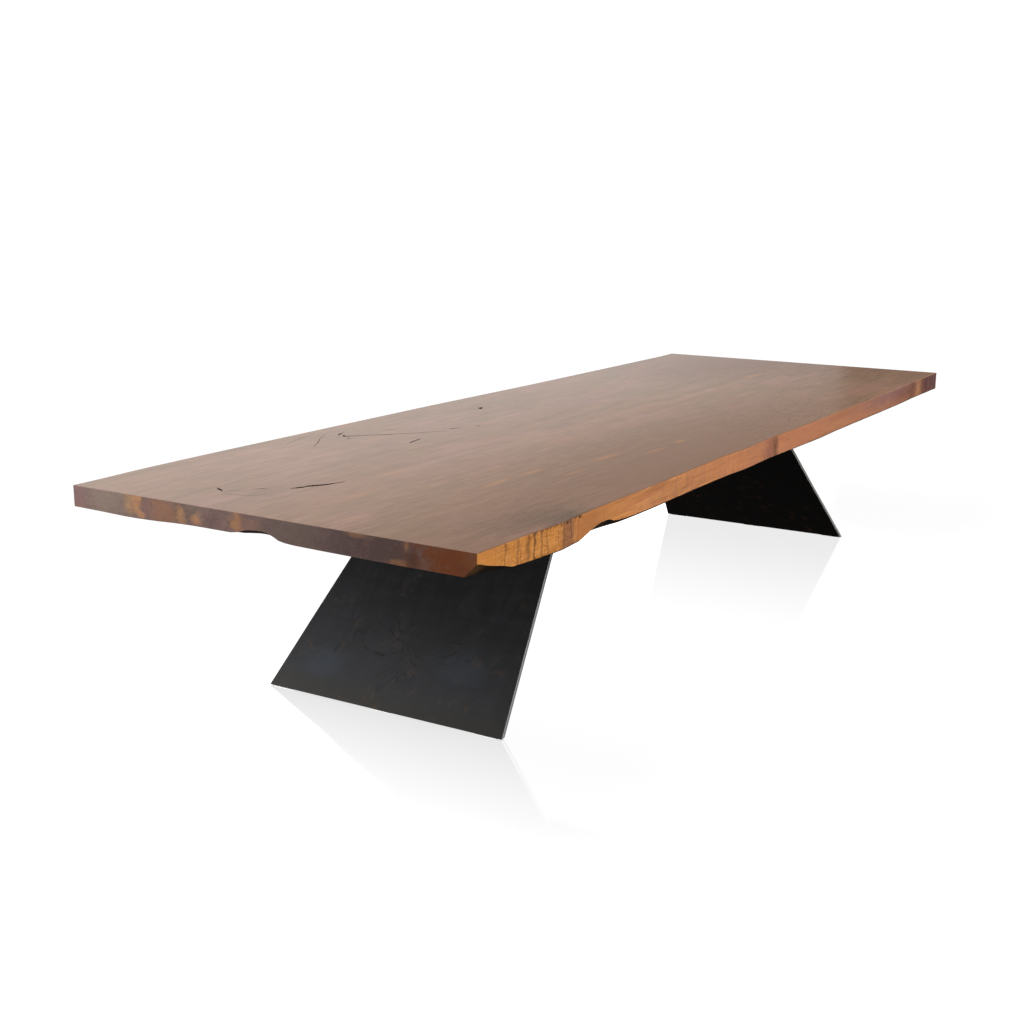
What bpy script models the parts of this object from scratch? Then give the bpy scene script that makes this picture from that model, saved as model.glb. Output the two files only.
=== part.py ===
"""Live-edge slab table on two leaning steel plate legs.

Metres, +Z up. The origin is on the floor under the middle of the slab, +X runs along the slab
and -Y is its front edge. "left" pieces are on the -X side and "right" pieces on the +X side.
"""

import math

import bmesh
import bpy
import numpy as np
from mathutils import Matrix

# Overall size
TABLE_HEIGHT = 0.750
SLAB_LENGTH = 4.240  # along the front edge
SLAB_WIDTH = 1.506  # over the widest points of both live edges
SLAB_THICKNESS = 0.078
END_SKEW = 0.0195  # how much nearer the middle each sawn end lies at the back edge
ARRIS = 0.003  # the eased top corner of the live edges

# Leg plates: each leans towards the middle of the table and narrows upwards
FOOT_X = 1.5445  # outer edge of each foot from the table's middle
FOOT_WIDTH = 0.917
LEAN = 0.946  # run towards the middle for each unit of height
SIDE_TAPER = 0.1994  # how much each side edge comes in for each unit of height
PLATE_THICKNESS = 0.015
PLATE_EDGE_ROUND = 0.0012

# Mounting plates, welded across the leg tops and bolted up into the slab
MOUNT_LENGTH = 0.380
MOUNT_WIDTH = 0.900
MOUNT_THICKNESS = 0.010
MOUNT_X = 0.890  # middle of each mounting plate from the table's middle
BOLT_ROW_OFFSETS = (-0.145, 0.145)  # along X from the mounting plate's middle
BOLT_SPACING_Y = 0.380
SLOT_HALF_WIDTH = 0.006
SLOT_HALF_LENGTH = 0.012  # slotted across the grain, where the slab swells and shrinks

# Gusset ribs between each leg's inner face and its mounting plate
GUSSET_THICKNESS = 0.010
GUSSET_RUN = 0.150
GUSSET_DROP = 0.140
GUSSET_TIP = 0.014  # the blunt width left at the two tips
GUSSET_Y = 0.190

# Fasteners
BOLT_SHANK_RADIUS = 0.0047
BOLT_HEAD_RADIUS = 0.0098  # over the corners of the hexagon
BOLT_HEAD_HEIGHT = 0.0064
BOLT_REACH = 0.030  # how far the tip goes up into the slab
WASHER_RADIUS = 0.015
WASHER_HOLE_RADIUS = 0.0053
WASHER_THICKNESS = 0.0025
INSERT_RADIUS = 0.008
INSERT_BORE_RADIUS = 0.005
INSERT_LENGTH = 0.028
POCKET_DEPTH = 0.045
ROUND_SIDES = 16

# Glide pads under the feet
PAD_COUNT = 3  # under each foot
PAD_SIZE = (0.016, 0.080, 0.002)
PAD_SPACING_Y = 0.400

GAP = 0.0003  # left between pieces that touch

# Live edges: (x, how far the top edge stays inside half of SLAB_WIDTH)
FRONT_INSET = (
    (-2.12, 0.0115), (-1.90, 0.0100), (-1.70, 0.0012), (-1.61, 0.0080), (-1.45, 0.0110),
    (-1.10, 0.0170), (-0.52, 0.0305), (-0.38, 0.0260), (-0.10, 0.0345), (0.35, 0.0330),
    (0.65, 0.0395), (1.45, 0.0460), (1.75, 0.0535), (2.12, 0.0560),
)  # fmt: skip
BACK_INSET = (
    (-2.12, 0.0360), (-1.80, 0.0200), (-1.50, 0.0140), (-0.95, 0.0118), (-0.23, 0.0105),
    (0.18, 0.0170), (0.64, 0.0235), (1.26, 0.0245), (1.95, 0.0230), (2.12, 0.0160),
)  # fmt: skip
# (x, depth where the face turns under, how far the lower edge then runs inwards)
FRONT_TURN = (
    (-2.12, 0.030, 0.0390), (-1.99, 0.060, 0.0140), (-1.91, 0.074, 0.0040), (-1.62, 0.073, 0.0045),
    (-1.545, 0.060, 0.0200), (-1.47, 0.049, 0.0330), (-1.40, 0.053, 0.0290), (-1.25, 0.066, 0.0125),
    (-1.00, 0.070, 0.0100), (-0.30, 0.073, 0.0060), (0.60, 0.075, 0.0015), (2.12, 0.076, 0.0010),
)  # fmt: skip
BACK_TURN = (
    (-2.12, 0.060, 0.0020), (-1.40, 0.052, -0.0060), (-0.60, 0.066, -0.0100), (0.20, 0.050, 0.0060),
    (1.00, 0.062, -0.0080), (1.60, 0.056, 0.0020), (2.12, 0.070, 0.0010),
)  # fmt: skip
# (y, thickness left at the left sawn end), where the underside runs out towards the old bark
END_DEPTH = (
    (-0.753, 0.0675), (-0.50, 0.0680), (-0.33, 0.0710), (-0.14, 0.0640), (-0.05, 0.0505),
    (0.05, 0.0580), (0.22, 0.0600), (0.46, 0.0680), (0.753, 0.0650),
)  # fmt: skip
END_RISE_RUN = 0.30  # how far in from the left end the underside comes down to full thickness
UNDERSIDE_COLUMNS = 13
LEFT_STATIONS = 24  # sections over the left part of the slab, where the edge has its hollows
RIGHT_STATIONS = 16
STATION_SPLIT = -0.50  # where the sections spread out, as a part of half the slab's length

UNDERSIDE_Z = TABLE_HEIGHT - SLAB_THICKNESS
MOUNT_TOP_Z = UNDERSIDE_Z - GAP
MOUNT_BOTTOM_Z = MOUNT_TOP_Z - MOUNT_THICKNESS
LEG_TOP_Z = MOUNT_BOTTOM_Z - GAP
LEG_BOTTOM_Z = PAD_SIZE[2] + GAP
LEAN_ANGLE = math.atan(LEAN)
PLATE_RUN = PLATE_THICKNESS / math.cos(LEAN_ANGLE)  # the plate's thickness along X


def clear_scene():
    for obj in list(bpy.data.objects):
        bpy.data.objects.remove(obj, do_unlink=True)


def new_collection(name):
    collection = bpy.data.collections.new(name)
    bpy.context.scene.collection.children.link(collection)
    return collection


def new_material(name, color, roughness, metallic):
    material = bpy.data.materials.new(name)
    material.use_nodes = True
    shader = material.node_tree.nodes["Principled BSDF"]
    shader.inputs["Base Color"].default_value = (*color, 1.0)
    shader.inputs["Roughness"].default_value = roughness
    shader.inputs["Metallic"].default_value = metallic
    return material


def mesh_of(name, bm):
    """The finished mesh datablock of a bmesh, with its faces turned outwards."""
    bmesh.ops.recalc_face_normals(bm, faces=bm.faces)
    mesh = bpy.data.meshes.new(name)
    bm.to_mesh(mesh)
    bm.free()
    return mesh


def place(name, mesh, collection, material=None, location=(0, 0, 0)):
    obj = bpy.data.objects.new(name, mesh)
    obj.location = location
    if material and not mesh.materials:
        mesh.materials.append(material)
    collection.objects.link(obj)
    return obj


def as_cutter(obj):
    obj.hide_render = True
    obj.display_type = "WIRE"
    return obj


def block(size, centre=(0, 0, 0)):
    bm = bmesh.new()
    bmesh.ops.create_cube(bm, size=1.0, matrix=Matrix.Translation(centre) @ Matrix.Diagonal((*size, 1)))
    return bm


def cylinder(radius, low, high, sides=ROUND_SIDES):
    bm = bmesh.new()
    middle = Matrix.Translation((0, 0, (low + high) / 2))
    bmesh.ops.create_cone(
        bm, cap_ends=True, segments=sides, radius1=radius, radius2=radius, depth=high - low, matrix=middle
    )
    return bm


def add_bevel(obj, width):
    bevel = obj.modifiers.new("eased_edges", "BEVEL")
    bevel.width = width
    bevel.segments = 1
    bevel.limit_method = "ANGLE"


def add_boolean(obj, operation, other):
    modifier = obj.modifiers.new(operation.lower(), "BOOLEAN")
    modifier.operation = operation
    if isinstance(other, bpy.types.Collection):
        modifier.operand_type = "COLLECTION"
        modifier.collection = other
    else:
        modifier.object = other


def evaluated_mesh(obj, name):
    """What obj's modifiers make of it, as a mesh that copies can share. The object itself is removed."""
    graph = bpy.context.evaluated_depsgraph_get()
    mesh = bpy.data.meshes.new_from_object(obj.evaluated_get(graph))
    mesh.name = name
    bpy.data.objects.remove(obj, do_unlink=True)
    return mesh


def smooth_curve(points):
    """A smooth function through points (x, value), with slopes that never overshoot them."""
    x, value = np.array(points, float).T
    step = np.diff(x)
    rise = np.diff(value) / step
    slope = np.zeros(len(x))
    inner = rise[:-1] * rise[1:] > 0
    slope[1:-1][inner] = 2 * rise[:-1][inner] * rise[1:][inner] / (rise[:-1] + rise[1:])[inner]

    def at(where):
        where = min(max(where, x[0]), x[-1])
        i = min(np.searchsorted(x, where, side="right"), len(x) - 1) - 1
        t = (where - x[i]) / step[i]
        return float(
            value[i] * (1 + 2 * t) * (1 - t) ** 2
            + value[i + 1] * t * t * (3 - 2 * t)
            + step[i] * (slope[i] * t * (1 - t) ** 2 - slope[i + 1] * t * t * (1 - t))
        )

    return at


front_inset = smooth_curve(FRONT_INSET)
back_inset = smooth_curve(BACK_INSET)
front_turn_depth = smooth_curve([(x, depth) for x, depth, _ in FRONT_TURN])
front_turn_inset = smooth_curve([(x, inset) for x, _, inset in FRONT_TURN])
back_turn_depth = smooth_curve([(x, depth) for x, depth, _ in BACK_TURN])
back_turn_inset = smooth_curve([(x, inset) for x, _, inset in BACK_TURN])
end_depth = smooth_curve(END_DEPTH)


def thickness_at(x, y):
    """The slab's thickness: full, but for the rise of the underside towards the left sawn end."""
    t = min((x + SLAB_LENGTH / 2) / END_RISE_RUN, 1.0)
    return SLAB_THICKNESS - (SLAB_THICKNESS - end_depth(y)) * (1 - t) ** 2 * (1 + 2 * t)


def edge_profile(x, side_y, full_depth, turn_depth, turn_inset, inwards):
    """One live edge as (y, depth) from the top down: an eased corner, a face, and the turn under it."""
    turn_depth = min(turn_depth, full_depth - ARRIS)
    under = full_depth - turn_depth
    return [
        (side_y + inwards * ARRIS, 0.0),
        (side_y, ARRIS),
        (side_y, turn_depth * 0.55),
        (side_y, turn_depth),
        (side_y + inwards * turn_inset * 0.4, turn_depth + under * 0.55),
        (side_y + inwards * turn_inset, full_depth),
    ]


def slab_section(station):
    """The slab's outline at a station from -1 (left end) to 1 (right end), as a closed ring of points."""
    x = station * SLAB_LENGTH / 2
    front_y = -SLAB_WIDTH / 2 + front_inset(x)
    back_y = SLAB_WIDTH / 2 - back_inset(x)
    front = edge_profile(
        x, front_y, thickness_at(x, front_y), front_turn_depth(x), front_turn_inset(x), inwards=1
    )
    back = edge_profile(x, back_y, thickness_at(x, back_y), back_turn_depth(x), back_turn_inset(x), inwards=-1)
    columns = np.linspace(front[-1][0], back[-1][0], UNDERSIDE_COLUMNS)[1:-1]
    under = [(float(y), thickness_at(x, y)) for y in columns]
    ring = front + under + back[::-1]
    return [
        (station * (SLAB_LENGTH / 2 - END_SKEW * (0.5 + y / SLAB_WIDTH)), y, TABLE_HEIGHT - depth)
        for y, depth in ring
    ]


def loft(sections):
    """A closed solid through rings of equally many points, capped at both ends."""
    bm = bmesh.new()
    rings = [[bm.verts.new(point) for point in section] for section in sections]
    for ring, following in zip(rings, rings[1:]):
        for i in range(len(ring)):
            j = (i + 1) % len(ring)
            bm.faces.new((ring[i], ring[j], following[j], following[i]))
    bm.faces.new(rings[0])
    bm.faces.new(rings[-1][::-1])
    return bm


def bolt_places():
    """(side, x, y) of every bolt; side is -1 at the left leg and 1 at the right leg."""
    for side in (-1, 1):
        for offset in BOLT_ROW_OFFSETS:
            for row in (-1, 0, 1):
                yield side, side * (MOUNT_X + offset), row * BOLT_SPACING_Y


def make_slab(parts, cutters, wood):
    stations = np.concatenate(
        [
            np.linspace(-1, STATION_SPLIT, LEFT_STATIONS),
            np.linspace(STATION_SPLIT, 1, RIGHT_STATIONS + 1)[1:],
        ]
    )
    slab = place("slab_top", mesh_of("slab_top", loft([slab_section(s) for s in stations])), parts, wood)
    pocket = mesh_of("insert_pocket", cylinder(INSERT_RADIUS + GAP, -POCKET_DEPTH, POCKET_DEPTH))
    for number, (_, x, y) in enumerate(bolt_places(), 1):
        as_cutter(place(f"pocket_cutter_{number}", pocket, cutters, location=(x, y, UNDERSIDE_Z)))
    add_boolean(slab, "DIFFERENCE", cutters)


def outer_face_x(z):
    """How far a leg's outer face is from the table's middle at a height."""
    return FOOT_X - LEAN * z


def leg_plate(side):
    """A block sheared and tapered into the leaning plate, with side edges square to its faces."""
    bm = block((1, 1, 1))
    for vert in bm.verts:
        z = LEG_TOP_Z if vert.co.z > 0 else LEG_BOTTOM_Z
        inner = vert.co.x > 0
        level = z + PLATE_THICKNESS * math.sin(LEAN_ANGLE) * inner
        half_width = FOOT_WIDTH / 2 - SIDE_TAPER * level
        distance = outer_face_x(z) - PLATE_RUN * inner
        vert.co = (side * distance, math.copysign(half_width, vert.co.y), z)
    return bm


def slot_cutter():
    """A round-ended prism: a cylinder whose two halves are pulled apart along Y."""
    bm = cylinder(SLOT_HALF_WIDTH, -MOUNT_THICKNESS, MOUNT_THICKNESS)
    for vert in bm.verts:
        vert.co.y += math.copysign(SLOT_HALF_LENGTH - SLOT_HALF_WIDTH, vert.co.y)
    return bm


def gusset_outline(side):
    """The rib's corners as (x, z): along the mounting plate, then down the leg's inner face."""
    top = LEG_TOP_Z
    bottom = LEG_TOP_Z - GUSSET_DROP
    inner = outer_face_x(top) - PLATE_RUN - 2 * GAP
    foot = outer_face_x(bottom) - PLATE_RUN - 2 * GAP
    far = inner - GUSSET_RUN
    corners = [(inner, top), (far, top), (far, top - GUSSET_TIP), (foot - GUSSET_TIP, bottom), (foot, bottom)]
    return [(side * x, z) for x, z in corners]


def gusset(name, side, y, parts, steel):
    """A flat outline in the XZ plane, given its thickness by the curve's extrude."""
    curve = bpy.data.curves.new(name, "CURVE")
    curve.dimensions = "2D"
    curve.fill_mode = "BOTH"
    curve.extrude = GUSSET_THICKNESS / 2
    corners = gusset_outline(side)
    spline = curve.splines.new("POLY")
    spline.points.add(len(corners) - 1)
    for point, (x, z) in zip(spline.points, corners):
        point.co = (x, z, 0, 1)
    spline.use_cyclic_u = True
    curve.materials.append(steel)
    rib = bpy.data.objects.new(name, curve)
    rib.rotation_euler = (math.pi / 2, 0, 0)
    rib.location = (0, y, 0)
    parts.objects.link(rib)


def make_leg(name, side, parts, cutters, steel):
    plate = place(f"{name}_leg_plate", mesh_of(f"{name}_leg_plate", leg_plate(side)), parts, steel)
    add_bevel(plate, PLATE_EDGE_ROUND)

    centre = (side * MOUNT_X, 0, (MOUNT_TOP_Z + MOUNT_BOTTOM_Z) / 2)
    shape = mesh_of(f"{name}_mounting_plate", block((MOUNT_LENGTH, MOUNT_WIDTH, MOUNT_THICKNESS)))
    mount = place(f"{name}_mounting_plate", shape, parts, steel, centre)
    add_bevel(mount, PLATE_EDGE_ROUND)
    slot = mesh_of("bolt_slot", slot_cutter())
    places = [place_of for place_of in bolt_places() if place_of[0] == side]
    for number, (_, x, y) in enumerate(places, 1):
        as_cutter(place(f"{name}_slot_cutter_{number}", slot, cutters, location=(x, y, centre[2])))
    add_boolean(mount, "DIFFERENCE", cutters)

    for end, y in (("front", -GUSSET_Y), ("back", GUSSET_Y)):
        gusset(f"{name}_gusset_{end}", side, y, parts, steel)


def bolt_mesh(steel):
    """A hexagon bolt that points up, with the underside of its head at z = 0."""
    scratch = new_collection("bolt_scratch")
    bearing = MOUNT_BOTTOM_Z - WASHER_THICKNESS - 2 * GAP
    shank_mesh = mesh_of("shank", cylinder(BOLT_SHANK_RADIUS, -0.002, UNDERSIDE_Z + BOLT_REACH - bearing))
    shank = as_cutter(place("shank", shank_mesh, scratch))
    head_mesh = mesh_of("head", cylinder(BOLT_HEAD_RADIUS, -BOLT_HEAD_HEIGHT, 0, sides=6))
    head = place("head", head_mesh, scratch, steel)
    add_boolean(head, "UNION", shank)
    mesh = evaluated_mesh(head, "mounting_bolt")
    bpy.data.objects.remove(shank, do_unlink=True)
    bpy.data.collections.remove(scratch)
    return mesh


def ring_mesh(name, radius, hole_radius, height, material):
    """A plain ring that stands on z = 0."""
    scratch = new_collection(f"{name}_scratch")
    hole = as_cutter(place("hole", mesh_of("hole", cylinder(hole_radius, -height, 2 * height)), scratch))
    ring = place(name, mesh_of(name, cylinder(radius, 0, height)), scratch, material)
    add_boolean(ring, "DIFFERENCE", hole)
    mesh = evaluated_mesh(ring, name)
    bpy.data.objects.remove(hole, do_unlink=True)
    bpy.data.collections.remove(scratch)
    return mesh


def make_fasteners(parts, zinc, brass):
    bolt = bolt_mesh(zinc)
    washer = ring_mesh("plain_washer", WASHER_RADIUS, WASHER_HOLE_RADIUS, WASHER_THICKNESS, zinc)
    insert = ring_mesh("threaded_insert", INSERT_RADIUS, INSERT_BORE_RADIUS, INSERT_LENGTH, brass)
    washer_z = MOUNT_BOTTOM_Z - GAP - WASHER_THICKNESS
    for number, (side, x, y) in enumerate(bolt_places()):
        name = f"{'left' if side < 0 else 'right'}_{{}}_{number % 6 + 1}".format
        place(name("bolt"), bolt, parts, location=(x, y, washer_z - GAP))
        place(name("washer"), washer, parts, location=(x, y, washer_z))
        place(name("insert"), insert, parts, location=(x, y, UNDERSIDE_Z))


def make_pads(parts, nylon):
    pad = mesh_of("glide_pad", block(PAD_SIZE, centre=(0, 0, PAD_SIZE[2] / 2)))
    foot_x = outer_face_x(LEG_BOTTOM_Z) - PLATE_RUN / 2
    for name, side in (("left", -1), ("right", 1)):
        for number in range(PAD_COUNT):
            y = (number - (PAD_COUNT - 1) / 2) * PAD_SPACING_Y
            place(f"{name}_glide_pad_{number + 1}", pad, parts, nylon, (side * foot_x, y, 0))


def main():
    clear_scene()
    parts = new_collection("live_edge_slab_table")
    pockets = new_collection("slab_pocket_cutters")
    slots = {name: new_collection(f"{name}_slot_cutters") for name in ("left", "right")}
    wood = new_material("slab_wood", (0.245, 0.142, 0.090), 0.42, 0.0)
    steel = new_material("blackened_steel", (0.028, 0.028, 0.030), 0.45, 0.9)
    zinc = new_material("zinc_plated_steel", (0.62, 0.63, 0.65), 0.35, 1.0)
    brass = new_material("insert_brass", (0.72, 0.55, 0.28), 0.35, 1.0)
    nylon = new_material("clear_nylon", (0.78, 0.78, 0.76), 0.50, 0.0)
    make_slab(parts, pockets, wood)
    for name, side in (("left", -1), ("right", 1)):
        make_leg(name, side, parts, slots[name], steel)
    make_fasteners(parts, zinc, brass)
    make_pads(parts, nylon)


main()
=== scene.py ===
"""Looks for the live-edge slab table: carved slab, wood, steel, welds, fasteners, light and camera.

Metres, +Z up, in the CAD frame: the origin is on the floor under the middle of the slab, +X runs along
the slab and -Y is its front edge. The slab is built again here at a finer grain than the CAD solid, from
the same outlines. The legs, mounting plates, gussets, inserts and pads are CAD nodes with new materials.
"""

import math

import bmesh
import bpy
import numpy as np
from mathutils import Matrix, Vector, noise


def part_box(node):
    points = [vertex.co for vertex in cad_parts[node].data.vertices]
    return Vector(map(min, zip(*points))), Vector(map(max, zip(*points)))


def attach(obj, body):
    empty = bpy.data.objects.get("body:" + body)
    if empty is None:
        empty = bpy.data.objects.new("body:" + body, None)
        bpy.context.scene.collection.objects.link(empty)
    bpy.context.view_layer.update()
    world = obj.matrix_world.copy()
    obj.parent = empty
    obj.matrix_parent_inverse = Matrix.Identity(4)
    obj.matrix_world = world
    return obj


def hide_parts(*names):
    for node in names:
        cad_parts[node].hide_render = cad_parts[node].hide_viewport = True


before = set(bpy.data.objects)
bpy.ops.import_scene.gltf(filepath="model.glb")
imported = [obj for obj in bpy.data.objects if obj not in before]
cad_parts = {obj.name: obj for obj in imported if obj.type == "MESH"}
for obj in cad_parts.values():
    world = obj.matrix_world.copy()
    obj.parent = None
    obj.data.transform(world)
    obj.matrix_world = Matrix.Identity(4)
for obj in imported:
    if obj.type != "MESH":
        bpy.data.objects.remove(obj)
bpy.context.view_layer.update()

SIDES = (("left", -1), ("right", 1))

# The slab's driving dimensions, which are the CAD model's
SLAB_LOW, SLAB_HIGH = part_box("slab_top")
TABLE_HEIGHT = SLAB_HIGH.z
SLAB_THICKNESS = SLAB_HIGH.z - SLAB_LOW.z
SLAB_LENGTH = 4.24
SLAB_WIDTH = 1.506
END_SKEW = 0.0195
ARRIS = 0.003
UNDERSIDE_Z = SLAB_LOW.z

# Live edges: (x, how far the top edge stays inside half of SLAB_WIDTH)
FRONT_INSET = (
    (-2.12, 0.0115), (-1.9, 0.01), (-1.7, 0.0012), (-1.61, 0.008), (-1.45, 0.011), (-1.1, 0.017),
    (-0.52, 0.0305), (-0.38, 0.026), (-0.1, 0.0345), (0.35, 0.033), (0.65, 0.0395), (1.45, 0.046),
    (1.75, 0.0535), (2.12, 0.056),
)
BACK_INSET = (
    (-2.12, 0.036), (-1.8, 0.02), (-1.5, 0.014), (-0.95, 0.0118), (-0.23, 0.0105), (0.18, 0.017),
    (0.64, 0.0235), (1.26, 0.0245), (1.95, 0.023), (2.12, 0.016),
)
# (x, depth where the face turns under, how far the lower edge then runs inwards)
FRONT_TURN = (
    (-2.12, 0.029, 0.039), (-2.07, 0.042, 0.032), (-2.0, 0.058, 0.018), (-1.93, 0.0735, 0.004),
    (-1.76, 0.075, 0.0015), (-1.6, 0.074, 0.003), (-1.555, 0.065, 0.028), (-1.518, 0.056, 0.034),
    (-1.463, 0.0485, 0.034), (-1.425, 0.049, 0.031), (-1.38, 0.06, 0.025), (-1.32, 0.065, 0.016),
    (-1.2, 0.068, 0.012), (-1.0, 0.07, 0.01), (-0.3, 0.073, 0.006), (0.6, 0.075, 0.0015),
    (2.12, 0.076, 0.001),
)
BACK_TURN = (
    (-2.12, 0.06, 0.002), (-1.4, 0.052, -0.006), (-0.6, 0.066, -0.01), (0.2, 0.05, 0.006),
    (1.0, 0.062, -0.008), (1.6, 0.056, 0.002), (2.12, 0.07, 0.001),
)
# (y, thickness left at the left sawn end)
END_DEPTH = (
    (-0.753, 0.0675), (-0.5, 0.0675), (-0.33, 0.0667), (-0.157, 0.0651), (-0.114, 0.0628),
    (-0.088, 0.0586), (-0.065, 0.0534), (-0.03, 0.0514), (0.016, 0.0552), (0.055, 0.0595),
    (0.22, 0.0601), (0.29, 0.062), (0.39, 0.0665), (0.49, 0.0685), (0.6, 0.0667), (0.753, 0.0655),
)
END_RISE_RUN = 0.3
# The chip broken out of the underside at the left sawn end
CHIP_Y = -0.006
CHIP_HALF_WIDTH = 0.078
CHIP_DEPTH = 0.011
CHIP_RUN = 0.014

# How finely the slab is built
STATION_STEP = 0.008  # between sections along the slab
ARRIS_STEPS = 4
FACE_STEPS = 8
TURN_STEPS = 6
TURN_BEND = 1.08  # above 1, the turn under a live edge starts gently
UNDERSIDE_COLUMNS = 73
END_ROUND = 0.0012  # the eased corners of the sawn ends
RELIEF = 0.0016  # the deepest of the live edges' hollows
RELIEF_STARTS = 0.008  # the depth by which the hollows have come in under the top's corner
FLUTES = (-1.97, -1.62)  # the stretch of the front edge that is fluted across the grain
FLUTE_DEPTH = 0.0022
SHARP_ANGLE = math.radians(32)
END_ZONE = 0.03  # faces this near to half the slab's length can belong to a sawn end
EDGE_ZONE = 0.1  # how far in from a side the underside counts as the edge's
DEAD_FLAT = 0.9998  # how squarely a face looks up, or along X, to count as flat
POCKET_RADIUS = 0.0083
POCKET_DEPTH = 0.045

# Checks and cracks in the slab's top: the depth, and (x, y, half of the width) along each one
CRACKS = {
    "main_crack": (0.024, (
        (-1.782, 0.145, 0.001), (-1.767, 0.137, 0.005), (-1.748, 0.129, 0.008), (-1.736, 0.125, 0.0046),
        (-1.717, 0.118, 0.0092), (-1.69, 0.102, 0.0084), (-1.661, 0.088, 0.0062), (-1.64, 0.082, 0.0036),
        (-1.622, 0.076, 0.003), (-1.606, 0.073, 0.0008),
    )),
    "knot_check": (0.014, (
        (-1.893, 0.331, 0.0012), (-1.899, 0.32, 0.0036), (-1.907, 0.306, 0.0044), (-1.913, 0.294, 0.003),
        (-1.917, 0.286, 0.001),
    )),
    "knot_ring_dash": (0.005, (
        (-1.852, 0.236, 0.0005), (-1.838, 0.221, 0.002), (-1.825, 0.213, 0.0026), (-1.814, 0.203, 0.0006),
    )),
    "knot_ring_upper": (0.003, (
        (-1.908, 0.286, 0.0005), (-1.898, 0.267, 0.0011), (-1.883, 0.257, 0.0006),
        (-1.864, 0.245, 0.0004),
    )),
    "knot_ring_lower": (0.003, (
        (-1.936, 0.275, 0.0004), (-1.935, 0.236, 0.0009), (-1.925, 0.19, 0.0008), (-1.907, 0.161, 0.0009),
        (-1.873, 0.146, 0.0004),
    )),
    "back_arc": (0.005, (
        (-1.205, 0.526, 0.0004), (-1.161, 0.551, 0.0009), (-1.108, 0.582, 0.0014),
        (-1.064, 0.612, 0.0009), (-1.012, 0.639, 0.0007), (-0.957, 0.667, 0.0003),
    )),
    "back_arc_outer": (0.003, (
        (-1.227, 0.63, 0.0003), (-1.13, 0.668, 0.0006), (-1.045, 0.686, 0.0006), (-0.983, 0.701, 0.0004),
    )),
    "hook_streak": (0.01, (
        (-0.97, 0.604, 0.001), (-0.955, 0.612, 0.003), (-0.937, 0.62, 0.0032), (-0.921, 0.624, 0.0022),
        (-0.907, 0.626, 0.0008),
    )),
    "long_crack": (0.012, (
        (-0.958, 0.592, 0.0012), (-0.966, 0.58, 0.0052), (-0.974, 0.571, 0.005), (-0.955, 0.556, 0.0034),
        (-0.93, 0.538, 0.0031), (-0.876, 0.49, 0.0033), (-0.856, 0.466, 0.0044), (-0.838, 0.456, 0.0026),
        (-0.792, 0.42, 0.0022), (-0.756, 0.394, 0.0023), (-0.708, 0.359, 0.0019), (-0.667, 0.33, 0.0008),
    )),
    "hook_dash": (0.005, ((-0.992, 0.546, 0.0006), (-0.999, 0.534, 0.0026), (-1.004, 0.521, 0.0007))),
    "short_crack": (0.009, (
        (-0.953, 0.3, 0.001), (-0.93, 0.306, 0.0034), (-0.896, 0.312, 0.003), (-0.87, 0.318, 0.0028),
        (-0.858, 0.322, 0.0008),
    )),
    "pin_check": (0.007, (
        (-0.63, 0.351, 0.0008), (-0.612, 0.347, 0.0036), (-0.598, 0.339, 0.0028), (-0.569, 0.33, 0.0006),
    )),
    "far_pin_check": (0.008, ((-0.516, 0.305, 0.0012), (-0.509, 0.299, 0.005), (-0.501, 0.293, 0.0012))),
    "ring_knot_check": (0.016, (
        (-0.152, 0.524, 0.0014), (-0.141, 0.529, 0.0074), (-0.13, 0.533, 0.0088), (-0.119, 0.537, 0.005),
        (-0.111, 0.54, 0.0012),
    )),
    "ring_knot_line": (0.003, (
        (-0.268, 0.47, 0.0004), (-0.262, 0.447, 0.001), (-0.236, 0.444, 0.0009), (-0.205, 0.458, 0.0004),
    )),
    "upper_dash": (0.004, ((-0.782, 0.543, 0.0006), (-0.767, 0.53, 0.0022), (-0.743, 0.507, 0.0006))),
}
CRACK_STEP = 0.003
CRACK_FLOOR = 0.3  # a crack's width at its bottom, as a part of its width at the top
CRACK_RAGGED = 0.35  # how much a crack's two sides wander, as a part of its width
CRACK_SHALLOW = 0.002  # a crack narrower than this, to one side, is cut less deep
CUTTER_RISE = 0.002  # how far a crack's cutter stands above the top

# Knots that the grain flows around: (x, y, reach along x, reach along y, push across the grain)
KNOTS = (
    (-1.86, 0.235, 0.2, 0.1, 0.085), (-0.95, 0.56, 0.26, 0.09, 0.07), (-0.12, 0.54, 0.16, 0.07, 0.08),
    (-0.6, 0.345, 0.12, 0.06, 0.04), (-1.8, -0.72, 0.2, 0.14, 0.09), (0.55, -0.3, 0.5, 0.2, -0.06),
    (1.78, -0.76, 0.14, 0.12, 0.06), (-0.1, -0.76, 0.06, 0.09, 0.04), (1.2, 0.3, 0.6, 0.25, 0.08),
)

# Camera
CAMERA_PLACE = Vector((-5.0062, -2.6118, 1.6426))
CAMERA_HEADING = math.radians(31.521)  # from +X towards +Y
CAMERA_PITCH = math.radians(12.878)  # down from level
CAMERA_ROLL = math.radians(0.509)
CAMERA_LENS = 50.48
SENSOR_WIDTH = 36.0

# World and floor
HORIZON = (0.19, 0.27)  # the heights on the unit sphere between which the room's light comes up
ROOM_LIGHT = (0.1, 0.47)  # its strength below and above them
BACKDROP_WHITE = 1.05
FLOOR_WHITE = 1.03
MIRROR = {"left": 0.7, "right": 0.97}  # the part of the light that the floor mirrors at a foot
MIRROR_REACH = {"left": 0.58, "right": 2.0}  # how far from a foot the mirror fades out
MIRROR_SIDES = (0.8, 1.25)  # where the mirror starts to fade, and has faded, beside the table
MIRROR_ROUGHNESS = 0.06
MIRRORED_ROOM = {"left": 0.376, "right": 0.21}  # how bright the room looks in the mirror there

PLATE_END = 0.004  # the height that holds the vertices of a leg plate's foot, or of its top
BOLTS_A_SIDE = 6

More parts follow.
